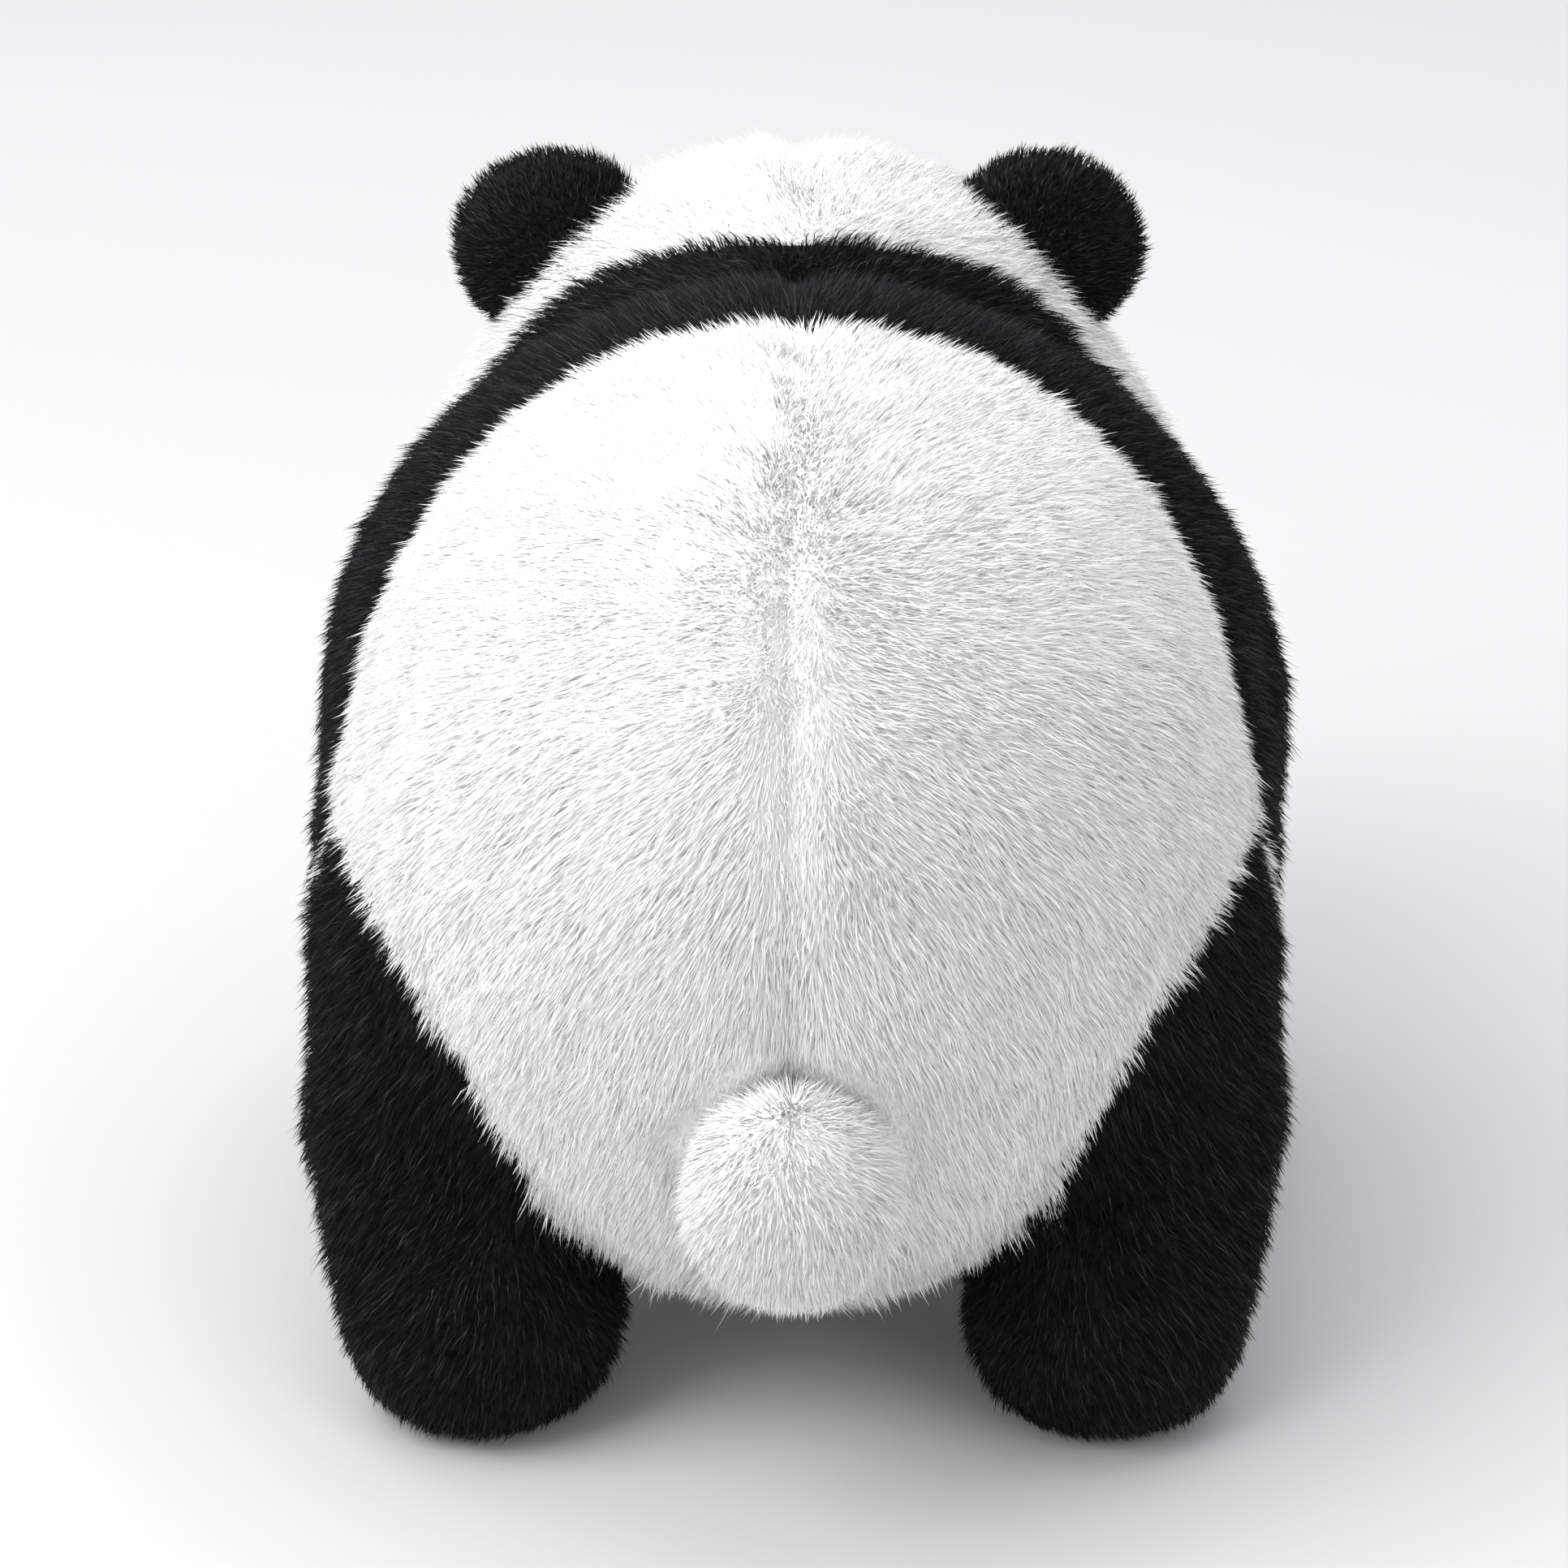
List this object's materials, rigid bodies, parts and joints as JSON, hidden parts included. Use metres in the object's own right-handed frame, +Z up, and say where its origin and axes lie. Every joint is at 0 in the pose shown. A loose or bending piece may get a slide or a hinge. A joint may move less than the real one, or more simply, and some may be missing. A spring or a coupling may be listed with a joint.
{
  "type": "plush panda",
  "caption": "Soft toy panda standing on all fours: sewn plush panels over stuffing, with flexing legs, head, ears and tail and plastic eyes and nose.",
  "frame": {"origin": "on the surface the toy stands on, under the middle of its outline", "axes": "+Z up, the toy faces -Y with its rump at +Y, and +X is its left side"},
  "size_m": [0.2732, 0.45, 0.2801],
  "materials": {
    "white_plush": "short dense white pile fabric, combed",
    "black_plush": "short dense black pile fabric with a soft sheen",
    "polyester_fill": "matte fibre fill",
    "black_plastic": "polished",
    "washer_plastic": "natural moulded",
    "embroidery_thread": "twisted thread, satin"
  },
  "bodies": {
    "root": {"rump_panel_left": "white_plush", "rump_panel_right": "white_plush", "shoulder_panel_left": "black_plush", "shoulder_panel_right": "black_plush", "belly_panel": "white_plush", "chest_panel": "black_plush", "body_stuffing": "polyester_fill"},
    "neck": {"neck_stuffing": "polyester_fill"},
    "head": {"head_panel_left": "white_plush", "head_panel_right": "white_plush", "muzzle_panel": "white_plush", "chin_panel": "white_plush", "eye_patch_left": "black_plush", "eye_patch_right": "black_plush", "eye_left": "black_plastic", "eye_right": "black_plastic", "eye_washer_left": "washer_plastic", "eye_washer_right": "washer_plastic", "nose": "black_plastic", "nose_washer": "washer_plastic", "mouth_stitch": "embroidery_thread", "head_stuffing": "polyester_fill"},
    "ear_left": {"ear_left_front": "black_plush", "ear_left_back": "black_plush"},
    "ear_right": {"ear_right_front": "black_plush", "ear_right_back": "black_plush"},
    "tail": {"tail_cover_left": "white_plush", "tail_cover_right": "white_plush", "tail_stuffing": "polyester_fill"},
    "hind_leg_left": {"hind_leg_left_outer_panel": "black_plush", "hind_leg_left_inner_panel": "black_plush", "hind_leg_left_sole": "black_plush", "hind_leg_left_stuffing": "polyester_fill"},
    "hind_leg_right": {"hind_leg_right_outer_panel": "black_plush", "hind_leg_right_inner_panel": "black_plush", "hind_leg_right_sole": "black_plush", "hind_leg_right_stuffing": "polyester_fill"},
    "front_leg_left": {"front_leg_left_outer_panel": "black_plush", "front_leg_left_inner_panel": "black_plush", "front_leg_left_sole": "black_plush", "front_leg_left_stuffing": "polyester_fill"},
    "front_leg_right": {"front_leg_right_outer_panel": "black_plush", "front_leg_right_inner_panel": "black_plush", "front_leg_right_sole": "black_plush", "front_leg_right_stuffing": "polyester_fill"}
  },
  "joints": [
    {"name": "neck_nod", "type": "hinge", "parent": "root", "child": "neck", "pos_m": [0, -0.1, 0.182], "axis": [1, 0, 0], "range_deg": [-8, 8], "stiffness_Nm_per_rad": 2.5},
    {"name": "head_turn", "type": "hinge", "parent": "neck", "child": "head", "pos_m": [0, -0.1, 0.182], "axis": [0, 0, 1], "range_deg": [-9, 9], "stiffness_Nm_per_rad": 2},
    {"name": "ear_left_fold", "type": "hinge", "parent": "head", "child": "ear_left", "pos_m": [0.0635, -0.119, 0.23268], "axis": [0.866, 0, -0.5], "range_deg": [-20, 25], "stiffness_Nm_per_rad": 0.06},
    {"name": "ear_right_fold", "type": "hinge", "parent": "head", "child": "ear_right", "pos_m": [-0.0635, -0.119, 0.23268], "axis": [0.866, 0, 0.5], "range_deg": [-20, 25], "stiffness_Nm_per_rad": 0.06},
    {"name": "tail_flex", "type": "hinge", "parent": "root", "child": "tail", "pos_m": [0, 0.177, 0.106], "axis": [1, 0, 0], "range_deg": [-15, 15], "stiffness_Nm_per_rad": 0.3},
    {"name": "hind_leg_left_swing", "type": "hinge", "parent": "root", "child": "hind_leg_left", "pos_m": [0.076, 0.091, 0.1], "axis": [1, 0, 0], "range_deg": [-12, 12], "stiffness_Nm_per_rad": 6},
    {"name": "hind_leg_right_swing", "type": "hinge", "parent": "root", "child": "hind_leg_right", "pos_m": [-0.076, 0.091, 0.1], "axis": [1, 0, 0], "range_deg": [-12, 12], "stiffness_Nm_per_rad": 6},
    {"name": "front_leg_left_swing", "type": "hinge", "parent": "root", "child": "front_leg_left", "pos_m": [0.084, -0.018, 0.088], "axis": [1, 0, 0], "range_deg": [-12, 12], "stiffness_Nm_per_rad": 6},
    {"name": "front_leg_right_swing", "type": "hinge", "parent": "root", "child": "front_leg_right", "pos_m": [-0.084, -0.018, 0.088], "axis": [1, 0, 0], "range_deg": [-12, 12], "stiffness_Nm_per_rad": 6}
  ]
}
